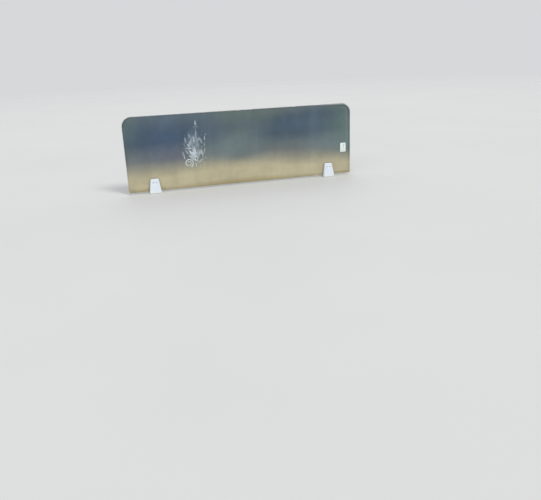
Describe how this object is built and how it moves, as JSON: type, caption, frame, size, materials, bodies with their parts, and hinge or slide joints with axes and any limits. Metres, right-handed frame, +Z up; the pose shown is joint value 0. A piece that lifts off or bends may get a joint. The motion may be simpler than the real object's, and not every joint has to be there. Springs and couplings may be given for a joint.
{
  "type": "desk privacy panel",
  "caption": "Frosted glass desk screen with rounded top corners, held upright on the desktop by tapered white clamp brackets with grub screws.",
  "frame": {"origin": "on the desktop under the middle of the pane, midway between the brackets and in the pane's mid-plane", "axes": "+X along the pane's length, -Y towards the front user (the side with the ornament and the clamp screws), +Z up"},
  "size_m": [1, 0.05, 0.32],
  "materials": {
    "clear_glass": "polished",
    "frosted_film": "matte",
    "white_decal": "matte",
    "label_paper": "matte",
    "white_powder_coat": "satin",
    "black_rubber": "matte",
    "zinc_plated_steel": "satin"
  },
  "bodies": {
    "frame": {"blank_label": "label_paper", "frosted_film": "frosted_film", "glass_pane": "clear_glass", "left_base_gasket": "black_rubber", "left_bracket_casting": "white_powder_coat", "left_rear_pad": "black_rubber", "left_setting_block": "black_rubber", "ornament_decal": "white_decal", "right_base_gasket": "black_rubber", "right_bracket_casting": "white_powder_coat", "right_rear_pad": "black_rubber", "right_setting_block": "black_rubber"},
    "left_clamp_jaw": {"left_pressure_plate": "zinc_plated_steel", "left_front_pad": "black_rubber"},
    "left_outer_screw": {"left_outer_grub_screw": "zinc_plated_steel"},
    "left_inner_screw": {"left_inner_grub_screw": "zinc_plated_steel"},
    "right_clamp_jaw": {"right_pressure_plate": "zinc_plated_steel", "right_front_pad": "black_rubber"},
    "right_outer_screw": {"right_outer_grub_screw": "zinc_plated_steel"},
    "right_inner_screw": {"right_inner_grub_screw": "zinc_plated_steel"}
  },
  "joints": [
    {"name": "left_clamp_slide", "type": "slide", "parent": "frame", "child": "left_clamp_jaw", "axis": [0, -1, 0], "range_m": [0, 0.002]},
    {"name": "left_outer_screw_turn", "type": "hinge", "parent": "left_clamp_jaw", "child": "left_outer_screw", "pos_m": [-0.3965, -0.012, 0.045], "axis": [0, -1, 0], "range_deg": [0, 720]},
    {"name": "left_inner_screw_turn", "type": "hinge", "parent": "left_clamp_jaw", "child": "left_inner_screw", "pos_m": [-0.3835, -0.012, 0.045], "axis": [0, -1, 0], "range_deg": [0, 720]},
    {"name": "right_clamp_slide", "type": "slide", "parent": "frame", "child": "right_clamp_jaw", "axis": [0, -1, 0], "range_m": [0, 0.002]},
    {"name": "right_outer_screw_turn", "type": "hinge", "parent": "right_clamp_jaw", "child": "right_outer_screw", "pos_m": [0.3965, -0.012, 0.045], "axis": [0, -1, 0], "range_deg": [0, 720]},
    {"name": "right_inner_screw_turn", "type": "hinge", "parent": "right_clamp_jaw", "child": "right_inner_screw", "pos_m": [0.3835, -0.012, 0.045], "axis": [0, -1, 0], "range_deg": [0, 720]}
  ],
  "couplings": [
    {"joint": "left_outer_screw_turn", "follows": "left_clamp_slide", "rad_per_m": 6283.2},
    {"joint": "left_inner_screw_turn", "follows": "left_clamp_slide", "rad_per_m": 6283.2},
    {"joint": "right_outer_screw_turn", "follows": "right_clamp_slide", "rad_per_m": 6283.2},
    {"joint": "right_inner_screw_turn", "follows": "right_clamp_slide", "rad_per_m": 6283.2}
  ]
}
